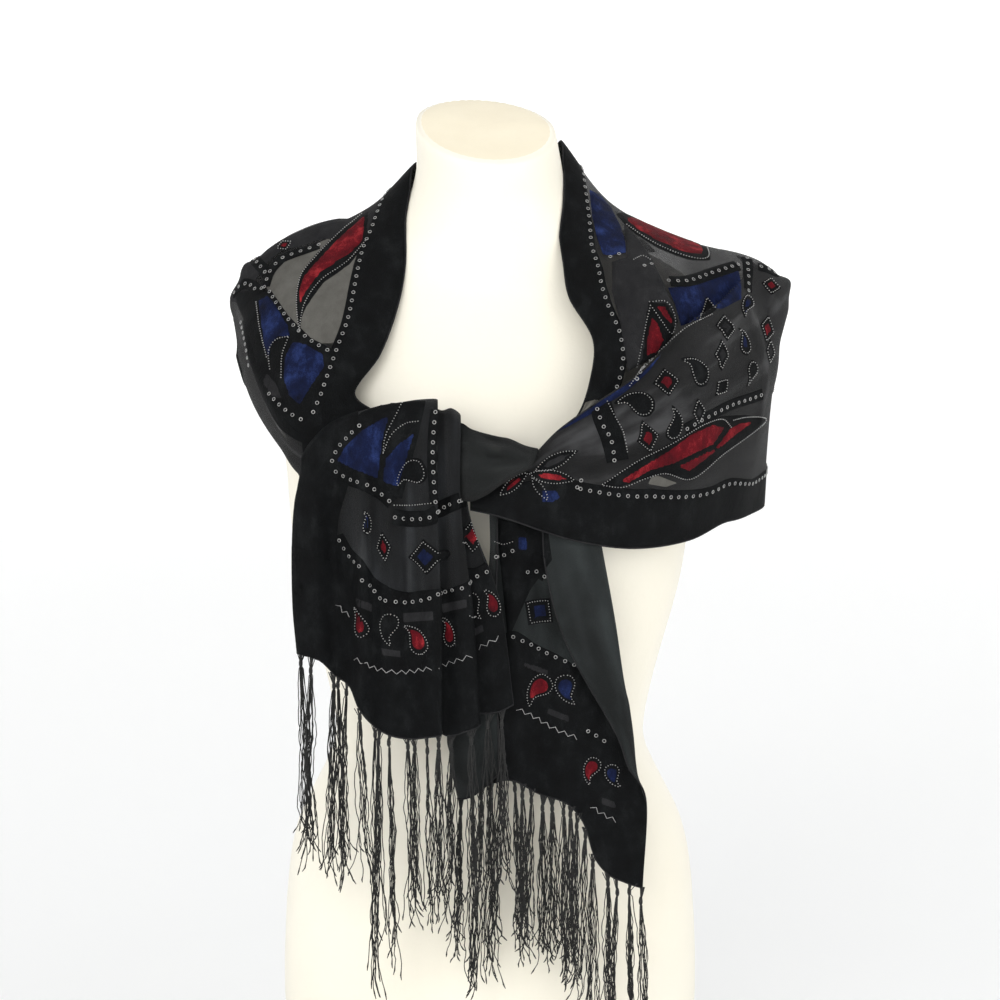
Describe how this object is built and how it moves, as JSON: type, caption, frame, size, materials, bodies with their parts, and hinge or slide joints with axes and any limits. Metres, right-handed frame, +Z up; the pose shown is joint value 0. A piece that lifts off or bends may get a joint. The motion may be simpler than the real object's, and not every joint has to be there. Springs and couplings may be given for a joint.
{
  "type": "velvet shawl on a limbless dress form",
  "caption": "Sheer shawl with raised velvet pattern and long knotted fringe, draped round the shoulders of a smooth limbless dress form and tied in front; stands on the form's flat base.",
  "frame": {"origin": "centre of the dress form's flat base, on the surface it stands on", "axes": "+Z up the form, front of the form and the shawl's knot towards -Y, +X towards the right of the picture"},
  "size_m": [0.4339, 0.2943, 0.825],
  "materials": {
    "form_cream": "semi-gloss",
    "shawl_cloth": "matt",
    "fringe_thread": "silky",
    "bead_silver": "bright"
  },
  "bodies": {
    "root": {"dress_form": "form_cream", "shawl_right_front": "shawl_cloth", "shawl_right_shoulder": "shawl_cloth", "shawl_back": "shawl_cloth", "shawl_left_shoulder": "shawl_cloth", "shawl_left_front": "shawl_cloth", "knot_band": "shawl_cloth", "front_tail": "shawl_cloth", "under_tail": "shawl_cloth", "front_fringe": "fringe_thread", "under_fringe": "fringe_thread"}
  },
  "joints": []
}
